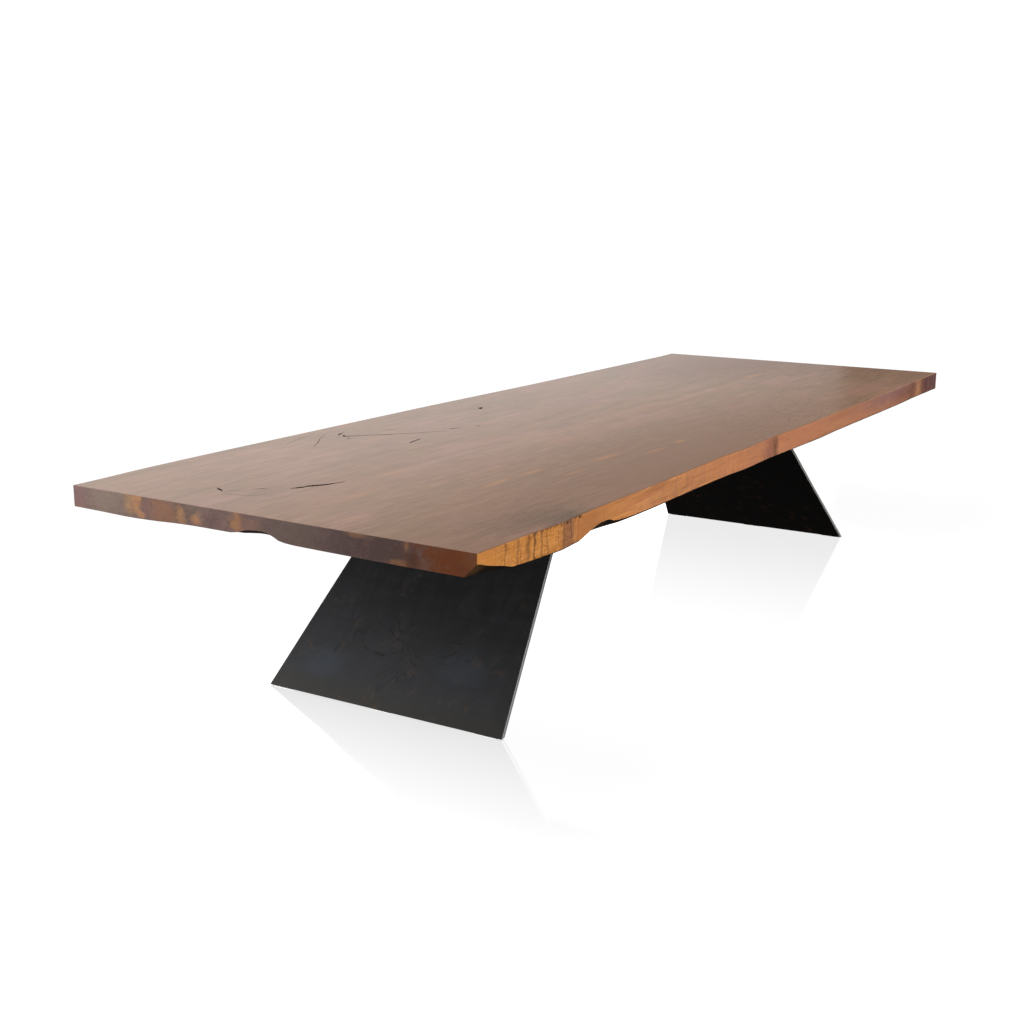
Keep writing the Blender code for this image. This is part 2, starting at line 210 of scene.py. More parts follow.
# Welds
BEAD_LEG = 0.006
BEAD_STEP = 0.0012
BEAD_RIPPLE = 0.0042  # between one ripple and the next
BEAD_RIPPLE_DEPTH = 0.12  # as a part of the bead's size
BEAD_GAP = 0.004  # left between a bead's end and what it runs up to
BEAD_SHARP_ANGLE = math.radians(50)
GUSSET_BEAD_LEG = 0.005
GUSSET_BEAD_START = 0.008  # how far under the mounting plate the beads on a gusset's leg side start


def smooth_curve(points):
    """A smooth function through points (x, value), with slopes that never overshoot them."""
    x, value = np.array(points, float).T
    step = np.diff(x)
    rise = np.diff(value) / step
    slope = np.zeros(len(x))
    inner = rise[:-1] * rise[1:] > 0
    slope[1:-1][inner] = 2 * rise[:-1][inner] * rise[1:][inner] / (rise[:-1] + rise[1:])[inner]

    def at(where):
        where = min(max(where, x[0]), x[-1])
        i = min(np.searchsorted(x, where, side="right"), len(x) - 1) - 1
        t = (where - x[i]) / step[i]
        return float(
            value[i] * (1 + 2 * t) * (1 - t) ** 2
            + value[i + 1] * t * t * (3 - 2 * t)
            + step[i] * (slope[i] * t * (1 - t) ** 2 - slope[i + 1] * t * t * (1 - t))
        )

    return at


front_inset = smooth_curve(FRONT_INSET)
back_inset = smooth_curve(BACK_INSET)
front_turn_depth = smooth_curve([(x, depth) for x, depth, _ in FRONT_TURN])
front_turn_inset = smooth_curve([(x, inset) for x, _, inset in FRONT_TURN])
back_turn_depth = smooth_curve([(x, depth) for x, depth, _ in BACK_TURN])
back_turn_inset = smooth_curve([(x, inset) for x, _, inset in BACK_TURN])
end_depth = smooth_curve(END_DEPTH)


# ---- meshes


def new_object(name, mesh, materials=()):
    obj = bpy.data.objects.new(name, mesh)
    bpy.context.scene.collection.objects.link(obj)
    for material in materials:
        mesh.materials.append(material)
    return obj


def mesh_of(name, bm):
    bmesh.ops.recalc_face_normals(bm, faces=bm.faces)
    mesh = bpy.data.meshes.new(name)
    bm.to_mesh(mesh)
    bm.free()
    return mesh


def shade(mesh, angle=SHARP_ANGLE):
    mesh.shade_smooth()
    mesh.set_sharp_from_angle(angle=angle)


def loft(sections, bm=None):
    """A closed solid through rings of equally many points, capped at both ends."""
    bm = bm or bmesh.new()
    rings = [[bm.verts.new(point) for point in section] for section in sections]
    for ring, following in zip(rings, rings[1:]):
        for i in range(len(ring)):
            j = (i + 1) % len(ring)
            bm.faces.new((ring[i], ring[j], following[j], following[i]))
    bm.faces.new(rings[0])
    bm.faces.new(rings[-1][::-1])
    return bm


def turned(profile):
    """A closed ring turned about Z from a closed outline of (radius, z)."""
    segments = 48
    bm = bmesh.new()
    rings = []
    for k in range(segments):
        angle = 2 * math.pi * k / segments
        ring = [bm.verts.new((r * math.cos(angle), r * math.sin(angle), z)) for r, z in profile]
        rings.append(ring)
    for k, ring in enumerate(rings):
        following = rings[(k + 1) % segments]
        for i in range(len(profile)):
            j = (i + 1) % len(profile)
            bm.faces.new((ring[i], ring[j], following[j], following[i]))
    return bm


def thickness_at(x, y):
    """The slab's thickness: full, but for the rise of the underside towards the left sawn end."""
    from_end = x + SLAB_LENGTH / 2
    t = min(from_end / END_RISE_RUN, 1.0)
    rise = (SLAB_THICKNESS - end_depth(y)) * (1 - t) ** 2 * (1 + 2 * t)
    chip_t = min(from_end / CHIP_RUN, 1.0)
    across = min(abs(y - CHIP_Y) / CHIP_HALF_WIDTH, 1.0)
    chip = CHIP_DEPTH * (1 - chip_t**2) * (1 - across**3)
    return SLAB_THICKNESS - rise - chip


def relief(x, depth, seed):
    """How far the worn face of a live edge lies inside its outline, from 0 to RELIEF."""
    swell = noise.noise(Vector((x * 6, depth * 14, seed)))
    ripple = noise.noise(Vector((x * 38, depth * 30, seed + 7)))
    return RELIEF * min(max(0.45 + 0.55 * swell + 0.25 * ripple, 0), 1)


def flutes(x, depth):
    """The shallow flutes across the grain near the front edge's left end."""
    middle = (FLUTES[0] + FLUTES[1]) / 2
    t = abs(x - middle) / (FLUTES[1] - FLUTES[0]) * 2
    if t >= 1:
        return 0.0
    groove = noise.noise(Vector((x * 46, depth * 5, 3.1)))
    return FLUTE_DEPTH * (1 - t * t) * max(groove, 0)


def edge_profile(x, side_y, turn_depth, turn_inset, inwards, seed):
    """One live edge as (y, depth) from the top down: a rounded corner, a face, and the turn under it."""
    full_depth = thickness_at(x, side_y)
    turn_depth = min(turn_depth, full_depth - ARRIS)
    under = full_depth - turn_depth
    points = []
    for k in range(ARRIS_STEPS):
        angle = math.pi / 2 * k / ARRIS_STEPS
        points.append((ARRIS * (1 - math.sin(angle)), ARRIS * (1 - math.cos(angle))))
    for k in range(FACE_STEPS):
        points.append((0.0, ARRIS + (turn_depth - ARRIS) * k / FACE_STEPS))
    for k in range(TURN_STEPS + 1):
        t = k / TURN_STEPS
        points.append((turn_inset * t**TURN_BEND, turn_depth + under * t))
    worn = []
    for inset, depth in points:
        fade = min(depth / RELIEF_STARTS, 1.0)
        extra = relief(x, depth, seed) + (flutes(x, depth) if inwards > 0 else 0.0)
        worn.append((side_y + inwards * (inset + extra * fade), depth))
    return worn


def slab_ring(x):
    """The slab's outline across one section, as (y, depth) all the way round."""
    front_y = -SLAB_WIDTH / 2 + front_inset(x)
    back_y = SLAB_WIDTH / 2 - back_inset(x)
    front = edge_profile(x, front_y, front_turn_depth(x), front_turn_inset(x), inwards=1, seed=1.0)
    back = edge_profile(x, back_y, back_turn_depth(x), back_turn_inset(x), inwards=-1, seed=5.0)
    columns = np.linspace(front[-1][0], back[-1][0], UNDERSIDE_COLUMNS)[1:-1]
    under = [(float(y), thickness_at(x, y)) for y in columns]
    return front + under + back[::-1]


def slab_section(station, ease=0.0, shift=0.0):
    """A section at a station from -1 to 1, drawn in by ease and moved by shift at an eased end."""
    half_width = SLAB_WIDTH / 2
    middle = SLAB_THICKNESS / 2
    section = []
    for y, depth in slab_ring(station * SLAB_LENGTH / 2):
        drawn_y = y * (1 - ease / half_width)
        drawn_depth = middle + (depth - middle) * (1 - ease / middle)
        x = station * (SLAB_LENGTH / 2 - END_SKEW * (0.5 + y / SLAB_WIDTH)) - math.copysign(shift, station)
        section.append((x, drawn_y, TABLE_HEIGHT - drawn_depth))
    return section


def slab_sections():
    count = round(SLAB_LENGTH / STATION_STEP)
    inner = np.linspace(-1, 1, count + 1)[1:-1]
    eased = [(END_ROUND, 0.0), (END_ROUND * 0.3, END_ROUND * 0.3), (0.0, END_ROUND)]
    left = [slab_section(-1, ease, shift) for ease, shift in eased]
    right = [slab_section(1, ease, shift) for ease, shift in reversed(eased)]
    return left + [slab_section(float(station)) for station in inner] + right


def along(points, step):
    """Points of (x, y, half width) spaced by about step on a smooth line through the given ones."""
    given = np.array(points)
    chord = np.concatenate([[0], np.cumsum(np.hypot(*np.diff(given[:, :2], axis=0).T))])
    count = max(int(chord[-1] / step), 4)
    where = np.linspace(0, chord[-1], count + 1)
    curves = [smooth_curve(list(zip(chord, given[:, k]))) for k in range(3)]
    return np.array([[curve(s) for curve in curves] for s in where])


def crack_cutter(name, depth, points, seed, material):
    """A ragged wedge along a crack, wider at the top, that stands a little above the slab's top."""
    path = along(points, CRACK_STEP)
    heading = np.gradient(path[:, :2], axis=0)
    heading /= np.linalg.norm(heading, axis=1)[:, None]
    sections = []
    for k, ((x, y, half), (dx, dy)) in enumerate(zip(path, heading)):
        across = np.array((-dy, dx))
        wander = half * CRACK_RAGGED * noise.noise(Vector((k * 0.55, seed, 0.3)))
        left = half * (1 + CRACK_RAGGED * noise.noise(Vector((k * 0.8, seed, 4.2)))) + wander
        right = half * (1 + CRACK_RAGGED * noise.noise(Vector((k * 0.8, seed, 9.7)))) - wander
        deep = depth * (0.35 + 0.65 * min(half / CRACK_SHALLOW, 1.0))
        section = []
        for offset, z in ((left, CUTTER_RISE), (left, 0), (left * CRACK_FLOOR, -deep),
                          (-right * CRACK_FLOOR, -deep), (-right, 0), (-right, CUTTER_RISE)):
            place = np.array((x, y)) + across * offset
            section.append((place[0], place[1], TABLE_HEIGHT + z))
        sections.append(section)
    return new_object(f"cut_{name}", mesh_of(name, loft(sections)), [material])


def pocket_cutters(material):
    """A hole up into the slab's underside at each threaded insert."""
    cutters = []
    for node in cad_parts:
        if "_insert_" not in node:
            continue
        low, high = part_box(node)
        bm = bmesh.new()
        middle = Matrix.Translation(((low.x + high.x) / 2, (low.y + high.y) / 2, UNDERSIDE_Z))
        bmesh.ops.create_cone(
            bm, cap_ends=True, segments=32, radius1=POCKET_RADIUS, radius2=POCKET_RADIUS,
            depth=2 * POCKET_DEPTH, matrix=middle,
        )
        cutters.append(new_object(f"cut_{node}", mesh_of(f"cut_{node}", bm), [material]))
    return cutters


def cut_away(obj, cutters):
    """Takes the cutters out of obj, whose cut faces keep the cutters' material, and removes the cutters."""
    collection = bpy.data.collections.new("cutters")
    bpy.context.scene.collection.children.link(collection)
    for cutter in cutters:
        collection.objects.link(cutter)
    modifier = obj.modifiers.new("cuts", "BOOLEAN")
    modifier.operation = "DIFFERENCE"
    modifier.operand_type = "COLLECTION"
    modifier.collection = collection
    modifier.solver = "EXACT"
    modifier.material_mode = "TRANSFER"
    graph = bpy.context.evaluated_depsgraph_get()
    mesh = bpy.data.meshes.new_from_object(obj.evaluated_get(graph))
    obj.modifiers.clear()
    obj.data = mesh
    for cutter in cutters:
        bpy.data.objects.remove(cutter, do_unlink=True)
    bpy.data.collections.remove(collection)


def paint_slab_faces(mesh):
    """Gives each face its material: flats, live edges, sawn ends, turned-under edges; cracks keep theirs."""
    flat, live, sawn, under = 0, 1, 2, 4  # slot 3 is the cracks'
    for face in mesh.polygons:
        if face.material_index != flat:
            continue
        normal = face.normal
        if abs(normal.x) > 0.85 and abs(abs(face.center.x) - SLAB_LENGTH / 2) < END_ZONE:
            face.material_index = sawn
        elif normal.z > 0.35 or (normal.z < -0.9 and abs(face.center.y) < SLAB_WIDTH / 2 - EDGE_ZONE):
            face.material_index = flat
        elif normal.z < -0.25:
            face.material_index = under
        else:
            face.material_index = live


def sharpen_flats(mesh):
    """Smooth shading that never bleeds from rounded corners onto the flat top or the sawn ends."""
    shade(mesh)
    bm = bmesh.new()
    bm.from_mesh(mesh)
    for edge in bm.edges:
        flats = [max(face.normal.z, abs(face.normal.x)) > DEAD_FLAT for face in edge.link_faces]
        if any(flats) and not all(flats):
            edge.smooth = False
    bm.to_mesh(mesh)
    bm.free()


def make_slab(woods, crack_material):
    flat, live, sawn, under = woods
    mesh = mesh_of("slab", loft(slab_sections()))
    slab = new_object("slab", mesh, [flat, live, sawn, crack_material, under])
    slab.visible_glossy = False  # the floor mirrors the legs alone
    cutters = [
        crack_cutter(name, depth, points, seed, crack_material)
        for seed, (name, (depth, points)) in enumerate(CRACKS.items())
    ]
    cut_away(slab, cutters + pocket_cutters(crack_material))
    paint_slab_faces(slab.data)
    sharpen_flats(slab.data)
    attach(slab, "root")
    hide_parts("slab_top")


def bead(bm, start, end, first, second, seed, size=BEAD_LEG):
    """A rippled fillet weld from start to end, in the corner between the directions first and second."""
    start, end = Vector(start), Vector(end)
    first, second = Vector(first).normalized(), Vector(second).normalized()
    length = (end - start).length
    forward = (end - start) / length
    count = max(int(length / BEAD_STEP), 6)
    sections = []
    for k in range(count + 1):
        s = k / count
        ripple = 1 - BEAD_RIPPLE_DEPTH * abs(math.sin(math.pi * s * length / BEAD_RIPPLE))
        wander = 1 + 0.08 * noise.noise(Vector((s * length * 60, seed, 0)))
        tip = min(min(s, 1 - s) * length / (size * 0.8), 1.0)
        leg = size * ripple * wander * (0.35 + 0.65 * math.sqrt(tip))
        middle = start + forward * (s * length)
        crown = (first + second) * 0.5
        section = [
            middle,
            middle + first * leg,
            middle + first * leg * 0.72 + crown * leg * 0.36,
            middle + crown * leg * 1.22,
            middle + second * leg * 0.72 + crown * leg * 0.36,
            middle + second * leg,
        ]
        sections.append(section)
    loft(sections, bm)


def weld_plate(bm, name, side, x_outer, x_inner, z, half, down):
    """The beads along the top of a leg plate, which stop short of its gussets on the inner face."""
    bead(bm, (x_outer, -half, z), (x_outer, half, z), (side, 0, 0), down, seed=side)
    spans = []
    edge_y = -half
    for end in ("front", "back"):
        low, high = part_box(f"{name}_gusset_{end}")
        spans.append((edge_y, low.y - BEAD_GAP))
        edge_y = high.y + BEAD_GAP
    spans.append((edge_y, half))
    for number, (y0, y1) in enumerate(spans):
        bead(bm, (x_inner, y0, z), (x_inner, y1, z), (-side, 0, 0), down, seed=number + 3)


def weld_gussets(bm, name, side, slope, x_inner, z):
    """The beads on both sides of each gusset, along the mounting plate and down the leg plate."""
    away = Vector((-side, 0, -slope)).normalized()
    for number, end in enumerate(("front", "back")):
        low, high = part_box(f"{name}_gusset_{end}")
        tip_x = (low.x if side > 0 else high.x) + side * BEAD_GAP
        drop = z - low.z - BEAD_GAP
        face_line = [(x_inner + side * slope * d, z - d) for d in (GUSSET_BEAD_START, drop)]
        for y, out in ((low.y, -1), (high.y, 1)):
            top_line = ((x_inner - side * BEAD_LEG, y, z), (tip_x, y, z))
            bead(bm, *top_line, (0, out, 0), (0, 0, -1), seed=number + 11 * out, size=GUSSET_BEAD_LEG)
            ends = [(x, y, face_z) for x, face_z in face_line]
            bead(bm, *ends, (0, out, 0), away, seed=number + 17 * out, size=GUSSET_BEAD_LEG)


def make_welds(steel):
    """Fillet welds that join each leg plate and its two gussets to the mounting plate."""
    for name, side in SIDES:
        leg_low, leg_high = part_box(f"{name}_leg_plate")
        foot_x = side * max(abs(leg_low.x), abs(leg_high.x))
        mount_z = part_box(f"{name}_mounting_plate")[0].z
        plate = leg_plane(name)
        slope = plate["slope"]
        down = Vector((side * slope, 0, -1)).normalized()
        x_outer = foot_x - side * slope * mount_z
        x_inner = x_outer - side * plate["run"]
        bm = bmesh.new()
        weld_plate(bm, name, side, x_outer, x_inner, mount_z, plate["top_half_width"] - BEAD_LEG, down)
        weld_gussets(bm, name, side, slope, x_inner, mount_z)
        mesh = mesh_of(f"{name}_weld_beads", bm)
        shade(mesh, BEAD_SHARP_ANGLE)
        welds = new_object(f"{name}_weld_beads", mesh, [steel])
        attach(welds, "root")


def leg_plane(name):
    """Slope, thickness along X and half of the top width of a leaning leg plate, from its CAD vertices."""
    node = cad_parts[f"{name}_leg_plate"]
    points = np.abs(np.array([vert.co for vert in node.data.vertices]))
    low, high = points[:, 2].min(), points[:, 2].max()
    foot = points[points[:, 2] < low + PLATE_END]
    top = points[points[:, 2] > high - PLATE_END]
    slope = (foot[:, 0].max() - top[:, 0].max()) / (high - low)
    run = top[:, 0].max() - top[:, 0].min()
    at_floor = foot[:, 0].max() + slope * low
    return {"slope": slope, "run": run, "foot": at_floor, "top_half_width": top[:, 1].min()}


def hexagon_radius(angle, corner_radius):
    """How far a hexagon's outline is from its middle at an angle."""
    sector = math.pi / 3
    return corner_radius * math.cos(sector / 2) / math.cos((angle % sector) - sector / 2)


def bolt_mesh(size):
    """A hexagon bolt about Z, from 0 up: a chamfered head, a shank and its thread."""
    top = size.z
    segments = 48
    corner = 0.0098
    head_height = 0.0064
    shank = 0.0047
    pitch = 0.0015
    thread_depth = 0.0007
    rows = [(0.9, 0.0), (0.955, 0.0006), (1.0, 0.0016), (1.0, head_height)]
    rings = []

    def ring(radius_at, z):
        points = []
        for k in range(segments):
            angle = 2 * math.pi * k / segments
            radius = radius_at(angle)
            points.append((radius * math.cos(angle), radius * math.sin(angle), z))
        rings.append(points)

    for share, z in rows:
        ring(lambda angle, limit=corner * share: min(hexagon_radius(angle, corner), limit), z)
    ring(lambda angle: shank, head_height + 0.00001)
    z = head_height + 0.006
    while z < top - pitch:
        ring(lambda angle: shank, z)
        ring(lambda angle: shank - thread_depth, z + pitch / 2)
        z += pitch
    ring(lambda angle: shank * 0.8, top)
    return mesh_of("hexagon_bolt", loft(rings))


def washer_mesh(size):
    """A flat washer about Z, from 0 up, with eased corners."""
    bore = 0.0053
    ease = 0.0004
    outer = size.y / 2
    thick = size.z
    return mesh_of("flat_washer", turned([
        (bore, ease), (bore + ease, 0), (outer - ease, 0), (outer, ease),
        (outer, thick - ease), (outer - ease, thick), (bore + ease, thick), (bore, thick - ease),
    ]))


def place_fastener(name, node, make_mesh, zinc):
    """A detailed fastener of a CAD node's size, in that node's place."""
    low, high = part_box(node)
    mesh = make_mesh(high - low)
    shade(mesh)
    piece = new_object(name, mesh, [zinc])
    piece.location = ((low.x + high.x) / 2, (low.y + high.y) / 2, low.z)
    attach(piece, "root")
    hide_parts(node)


def make_fasteners(zinc):
    """Turned washers and chamfered bolts in place of the plain CAD ones."""
    for side, _ in SIDES:
        for number in range(1, BOLTS_A_SIDE + 1):
            place_fastener(f"{side}_flat_washer_{number}", f"{side}_washer_{number}", washer_mesh, zinc)
            place_fastener(f"{side}_hexagon_bolt_{number}", f"{side}_bolt_{number}", bolt_mesh, zinc)


# ---- materials


class Shading:
    """Builds a material's nodes: each call adds a node or a few, and gives the socket that they end in."""

    def __init__(self, name):
        self.material = bpy.data.materials.new(name)
        self.material.use_nodes = True
        self.tree = self.material.node_tree
        self.shader = self.tree.nodes["Principled BSDF"]
        self.place = self.add("ShaderNodeTexCoord").outputs["Object"]

    def add(self, kind, **settings):
        node = self.tree.nodes.new(kind)
        for key, value in settings.items():
            setattr(node, key, value)
        return node

    def feed(self, socket, value):
        if isinstance(value, bpy.types.NodeSocket):
            self.tree.links.new(value, socket)
        elif isinstance(value, (tuple, list)) and len(value) == 3 and socket.type == "RGBA":
            socket.default_value = (*value, 1.0)
        else:
            socket.default_value = value

    def fed(self, kind, *values, **settings):
        """The outputs of a new node whose first inputs get the values, in order."""
        node = self.add(kind, **settings)
        for socket, value in zip(node.inputs, values):
            self.feed(socket, value)
        return node.outputs

    def math(self, operation, *values):
        return self.fed("ShaderNodeMath", *values, operation=operation)[0]

    def times(self, a, b):
        return self.math("MULTIPLY", a, b)

    def times_plus(self, a, b, c):
        """a times b, plus c."""
        return self.math("MULTIPLY_ADD", a, b, c)

    def minus(self, a, b):
        return self.math("SUBTRACT", a, b)

    def vector(self, operation, *values):
        outputs = self.fed("ShaderNodeVectorMath", *values, operation=operation)
        return outputs["Value" if operation == "LENGTH" else "Vector"]

    def stretched(self, scale):
        """The object's own coordinates, each one multiplied by its scale."""
        return self.vector("MULTIPLY", self.place, scale)

    def split(self, vector):
        return self.fed("ShaderNodeSeparateXYZ", vector)

    def join(self, x, y, z):
        return self.fed("ShaderNodeCombineXYZ", x, y, z)[0]

    def noise(self, where, scale=1.0, detail=2.0, roughness=0.5, distortion=0.0, bands=False):
        """Noise at a vector, or along one number, which makes bands where the number is constant."""
        node = self.add("ShaderNodeTexNoise", noise_dimensions="1D" if bands else "3D")
        self.feed(node.inputs["W" if bands else "Vector"], where)
        settings = {"Scale": scale, "Detail": detail, "Roughness": roughness, "Distortion": distortion}
        for name, value in settings.items():
            node.inputs[name].default_value = value
        return node.outputs["Fac"]

    def range(self, value, low, high, to_low=0.0, to_high=1.0, smooth=True):
        kind = "SMOOTHSTEP" if smooth else "LINEAR"
        values = (value, low, high, to_low, to_high)
        return self.fed("ShaderNodeMapRange", *values, interpolation_type=kind)[0]

    def ramp(self, value, stops):
        node = self.add("ShaderNodeValToRGB")
        elements = node.color_ramp.elements
        while len(elements) < len(stops):
            elements.new(0.5)
        for element, (position, color) in zip(elements, stops):
            element.position = position
            element.color = (*color, 1.0)
        self.feed(node.inputs[0], value)
        return node.outputs[0]

    def mix(self, factor, a, b, blend="MIX"):
        node = self.add("ShaderNodeMix", data_type="RGBA", blend_type=blend)
        self.feed(node.inputs["Factor"], factor)
        self.feed(node.inputs[6], a)
        self.feed(node.inputs[7], b)
        return node.outputs[2]

    def distance(self, centre, reach):
        """How far a place is from centre, where reach is 1 along each axis."""
        away = self.vector("DIVIDE", self.vector("SUBTRACT", self.place, centre), reach)
        return self.vector("LENGTH", away)

    def blob(self, centre, reach, fray):
        """1 inside an ellipsoid about centre with a frayed edge, falling to 0 near its reach."""
        wander = self.noise(self.stretched(fray), detail=6.0, roughness=0.75)
        distance = self.times_plus(self.minus(wander, 0.5), RAGGED, self.distance(centre, reach))
        return self.range(distance, *BLOB_EDGE, 1.0, 0.0)

    def lighten(self, color, shade, amount):
        """color made darker and lighter, by up to amount each way, as shade goes from 0.3 to 0.7."""
        share = self.range(shade, 0.3, 0.7, 1 - amount, 1 + amount, smooth=False)
        return self.mix(1.0, color, self.join(share, share, share), "MULTIPLY")

    def bump(self, height, strength, distance):
        node = self.add("ShaderNodeBump")
        node.inputs["Strength"].default_value = strength
        node.inputs["Distance"].default_value = distance
        self.feed(node.inputs["Height"], height)
        return node.outputs[0]

    def finish(self, color, roughness, normal=None, **constants):
        self.feed(self.shader.inputs["Base Color"], color)
        self.feed(self.shader.inputs["Roughness"], roughness)
        if normal:
            self.feed(self.shader.inputs["Normal"], normal)
        for name, value in constants.items():
            self.shader.inputs[name.replace("_", " ")].default_value = value
        return self.material


RINGS = (95.0, 14.0)  # narrow and wide growth rings, to each metre across the log
KNOT_REACH_DOWN = 0.25
BLOB_EDGE = (0.2, 1.15)  # a patch is full inside the first share of its reach, and gone at the second
FIBRE_SCALE = (7.0, 170.0, 170.0)
PORE_SCALE = (55.0, 900.0, 900.0)
# Lighter and darker streaks and mottles: (scale, amount)
TOP_SHIFTS = (((2.4, 32.0, 32.0), 0.09), ((9.0, 17.0, 17.0), 0.08), ((1.1, 3.2, 3.2), 0.075))
EDGE_SHIFTS = (((3.5, 30.0, 75.0), 0.18), ((7.0, 60.0, 210.0), 0.16), ((1.6, 4.0, 6.0), 0.08))
END_SHIFTS = (((60.0, 75.0, 75.0), 0.15), ((30.0, 24.0, 60.0), 0.15), ((12.0, 9.0, 14.0), 0.13))
RAGGED = 2.0  # how deeply a patch's edge is frayed
TOP_FRAY = (9.0, 60.0, 60.0)
EDGE_FRAY = (75.0, 20.0, 12.0)
END_FRAY = (30.0, 34.0, 46.0)

PORE_BROWN = (0.03, 0.014, 0.008)
ORANGE = (0.56, 0.23, 0.06)
GOLD = (0.48, 0.25, 0.085)
ROSE = (0.44, 0.165, 0.09)
PURPLE = (0.15, 0.08, 0.085)
MAROON = (0.11, 0.04, 0.03)
OLIVE = (0.125, 0.092, 0.06)
UMBER = (0.045, 0.022, 0.014)
RUST = (0.3, 0.105, 0.03)
FAR_ROSE = (0.25, 0.12, 0.08)
BURL_GOLD = (0.7, 0.285, 0.055)
END_ORANGE = (0.365, 0.17, 0.072)
PALE_GOLD = (0.78, 0.43, 0.17)

TOP_PALETTE = ((0.17, 0.088, 0.052), (0.228, 0.124, 0.074), (0.29, 0.166, 0.104))
EDGE_PALETTE = ((0.36, 0.14, 0.048), (0.52, 0.225, 0.08), (0.68, 0.34, 0.135))
END_PALETTE = ((0.11, 0.062, 0.05), (0.155, 0.092, 0.074), (0.205, 0.122, 0.096))
# The turned-under faces' palette is near-black: painted shade of faces that look down.
UNDER_EDGE_SHADE_PALETTE = ((0.008, 0.005, 0.004), (0.022, 0.012, 0.007), (0.05, 0.026, 0.013))

# Drifting casts: (colour, scale, where the drift starts, where it is full, amount)
TOP_CASTS = (
    ((0.29, 0.15, 0.115), (1.5, 4.2, 6.0), 0.42, 0.7, 0.55),
    ((0.19, 0.126, 0.07), (1.3, 5.0, 6.0), 0.46, 0.72, 0.55),
    ((0.33, 0.15, 0.07), (2.4, 13.0, 13.0), 0.55, 0.78, 0.45),
    ((0.13, 0.072, 0.044), (1.8, 8.0, 8.0), 0.56, 0.78, 0.4),
)
EDGE_CASTS = (
    (ROSE, (1.4, 5.0, 14.0), 0.46, 0.66, 0.45),
    (GOLD, (2.6, 5.0, 22.0), 0.52, 0.72, 0.5),
    ((0.3, 0.12, 0.055), (3.5, 8.0, 30.0), 0.54, 0.74, 0.45),
)
END_CASTS = (
    (RUST, (9.0, 7.0, 11.0), 0.54, 0.74, 0.55),
    (OLIVE, (9.0, 6.0, 13.0), 0.48, 0.68, 0.6),
    (PURPLE, (9.0, 8.0, 16.0), 0.5, 0.7, 0.5),
    (END_ORANGE, (30.0, 38.0, 30.0), 0.62, 0.76, 0.35),
)
UNDER_CASTS = (((0.11, 0.06, 0.024), (12.0, 30.0, 30.0), 0.5, 0.72, 0.6),)

# Local patches: (middle, reach, colour, amount)
TOP_PATCHES = (
    ((-0.5, -0.6, 0.75), (2.0, 0.54, 0.3), (0.162, 0.08, 0.04), 0.8),
    ((1.95, 0.35, 0.75), (0.95, 0.6, 0.3), (0.15, 0.055, 0.022), 0.6),
    ((-1.86, 0.24, 0.75), (0.16, 0.12, 0.2), UMBER, 0.1),
    ((-0.12, 0.54, 0.75), (0.08, 0.05, 0.2), UMBER, 0.22),
    ((-0.97, 0.57, 0.75), (0.07, 0.05, 0.2), UMBER, 0.16),
    ((-1.72, -0.66, 0.75), (0.3, 0.11, 0.05), UMBER, 0.26),
    ((-1.66, -0.73, 0.75), (0.14, 0.05, 0.05), UMBER, 0.4),
)
# Orange flecks on the top: (x, y, reach along x, reach along y, amount)
FLECKS = (
    (-1.36, -0.319, 0.1, 0.018, 0.23), (-1.16, -0.325, 0.09, 0.016, 0.24),
    (-1.08, -0.44, 0.09, 0.014, 0.21), (-0.79, -0.4, 0.12, 0.017, 0.24),
    (-0.59, -0.484, 0.11, 0.014, 0.2), (-0.379, -0.474, 0.045, 0.014, 0.32),
    (-1.435, 0.029, 0.11, 0.012, 0.2), (-1.7, -0.079, 0.11, 0.014, 0.14),
    (0.617, 0.393, 0.12, 0.018, 0.16), (1.475, 0.011, 0.12, 0.02, 0.2),
)
TOP_PATCHES += tuple(
    ((x, y, 0.75), (reach_x, reach_y, 0.05), ORANGE, amount) for x, y, reach_x, reach_y, amount in FLECKS
)
EDGE_PATCHES = (
    ((1.3, -0.74, 0.715), (2.9, 0.8, 0.8), FAR_ROSE, 0.72),
    ((-1.98, -0.74, 0.715), (0.8, 0.5, 0.5), BURL_GOLD, 0.6),
    ((-0.1, -0.74, 0.715), (1.3, 0.1, 0.12), ROSE, 0.35),
    ((-1.54, -0.74, 0.71), (0.14, 0.06, 0.09), (0.33, 0.13, 0.055), 0.6),
    ((-1.672, -0.75, 0.715), (0.06, 0.06, 0.12), (0.2, 0.092, 0.062), 0.75),
    ((-0.12, -0.73, 0.712), (0.1, 0.06, 0.1), (0.2, 0.085, 0.065), 0.7),
    ((-0.072, -0.73, 0.712), (0.026, 0.06, 0.09), UMBER, 0.6),
    ((1.4, -0.72, 0.738), (0.6, 0.06, 0.06), (0.205, 0.108, 0.105), 0.8),
    ((1.6, -0.72, 0.705), (0.26, 0.06, 0.07), MAROON, 0.45),
    ((1.83, -0.72, 0.705), (0.09, 0.06, 0.08), GOLD, 0.18),
    ((1.71, -0.72, 0.715), (0.08, 0.06, 0.13), UMBER, 0.45),
    ((1.93, -0.72, 0.715), (0.13, 0.06, 0.16), (0.09, 0.042, 0.041), 1.0),
    ((2.06, -0.72, 0.715), (0.16, 0.06, 0.2), (0.085, 0.045, 0.05), 1.0),
)
# At the left sawn end, all at one x and with one reach along x
END_X = -2.11
END_REACH = 0.06
